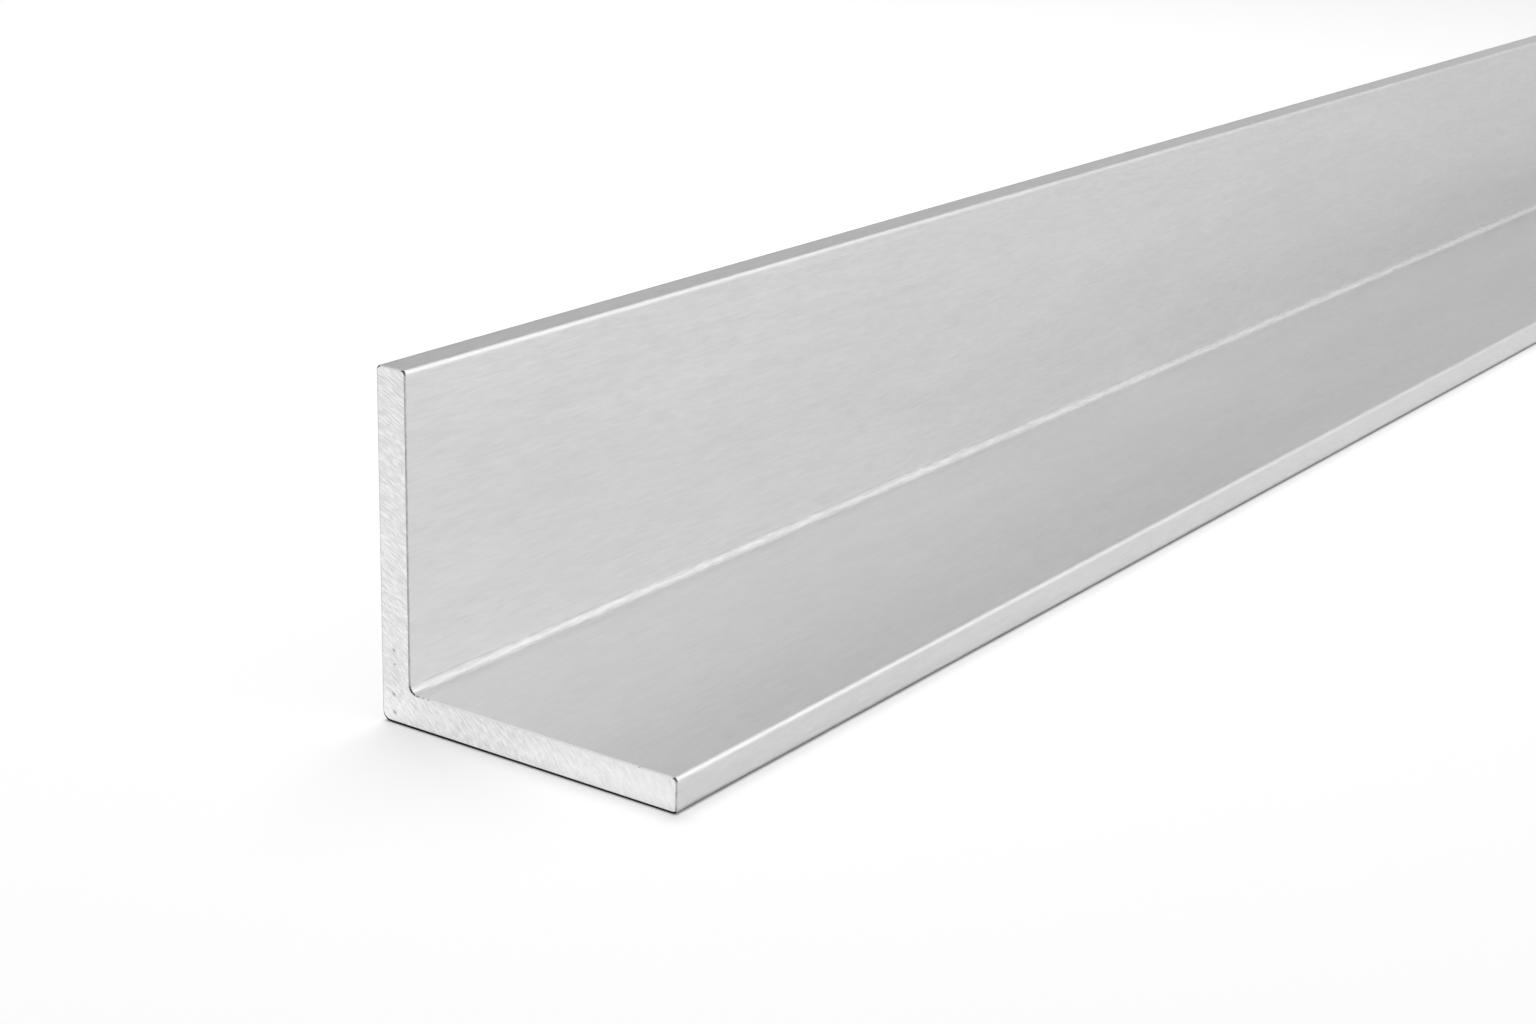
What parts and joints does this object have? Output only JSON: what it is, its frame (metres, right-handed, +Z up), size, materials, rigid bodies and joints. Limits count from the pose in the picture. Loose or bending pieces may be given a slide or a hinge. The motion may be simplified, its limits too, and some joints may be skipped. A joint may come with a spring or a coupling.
{
  "type": "metal angle section",
  "caption": "Equal-leg L-shaped aluminium angle with rounded edges and square sawn ends, for framing, edging and brackets.",
  "frame": {"origin": "under the middle of the bar's length, half way across its foot, on the surface it lies on", "axes": "+X along the bar, +Y from the foot's tip to the heel, +Z up the standing leg"},
  "size_m": [1, 0.05, 0.05],
  "materials": {
    "mill_aluminium": "mill finish with fine lengthwise die lines, and fine saw marks on both cut ends"
  },
  "bodies": {
    "root": {"angle_section": "mill_aluminium"}
  },
  "joints": []
}
